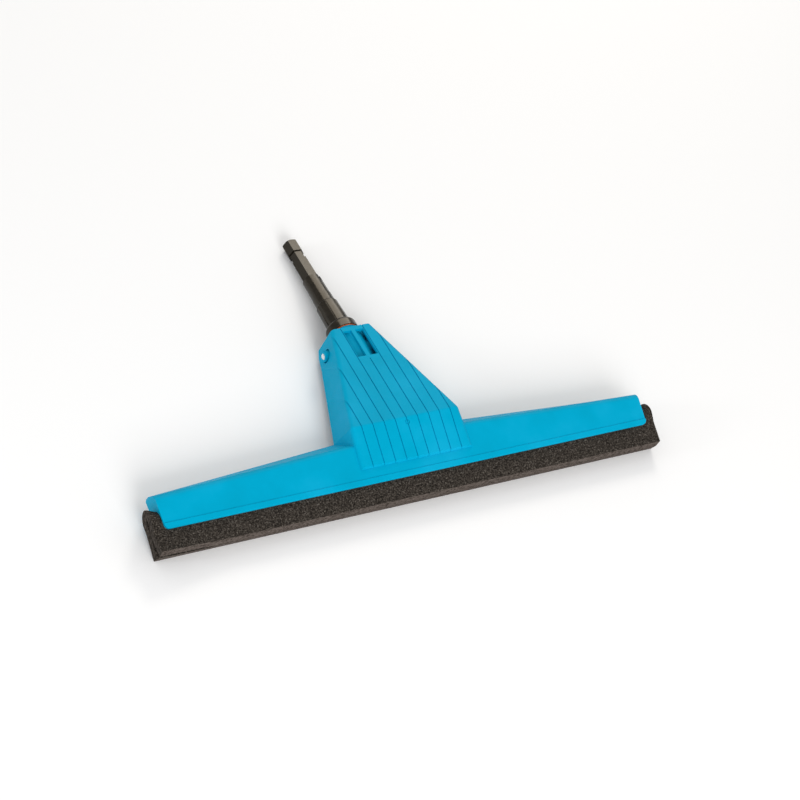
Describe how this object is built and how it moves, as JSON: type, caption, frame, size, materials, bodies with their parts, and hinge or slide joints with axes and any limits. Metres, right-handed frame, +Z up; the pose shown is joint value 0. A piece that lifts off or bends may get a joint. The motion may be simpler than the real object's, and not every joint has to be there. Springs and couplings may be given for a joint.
{
  "type": "squeegee head",
  "caption": "Wide water squeegee head: a folded foam-rubber blade in a moulded bar, with a ribbed tower and a tilting keyed stem for a plug-on pole.",
  "frame": {"origin": "on the surface the head lies on, below the middle of its bounding box", "axes": "+X along the bar, to the right seen from the front face; +Y from the blade to the tip of the stem; +Z up, out of the front face, with the head lying on its back"},
  "size_m": [0.43, 0.2696, 0.0406],
  "materials": {
    "shell_blue": "satin moulded polypropylene",
    "foam": "open cellular rubber",
    "core_grey": "plain extruded",
    "steel": "bright ground",
    "bush_white": "plain moulded",
    "stem_black": "satin glass-filled nylon",
    "ring_orange": "satin moulded"
  },
  "bodies": {
    "head": {"head_shell": "shell_blue", "foam_blade": "foam", "core_strip": "core_grey", "pivot_pin": "steel", "pivot_bush_left": "bush_white", "pivot_bush_right": "bush_white"},
    "stem": {"stem": "stem_black", "stem_ring": "ring_orange"}
  },
  "joints": [
    {"name": "stem_tilt", "type": "hinge", "parent": "head", "child": "stem", "pos_m": [0, 0.00675, 0.01812], "axis": [-1, 0, 0], "range_deg": [0, 35]}
  ]
}
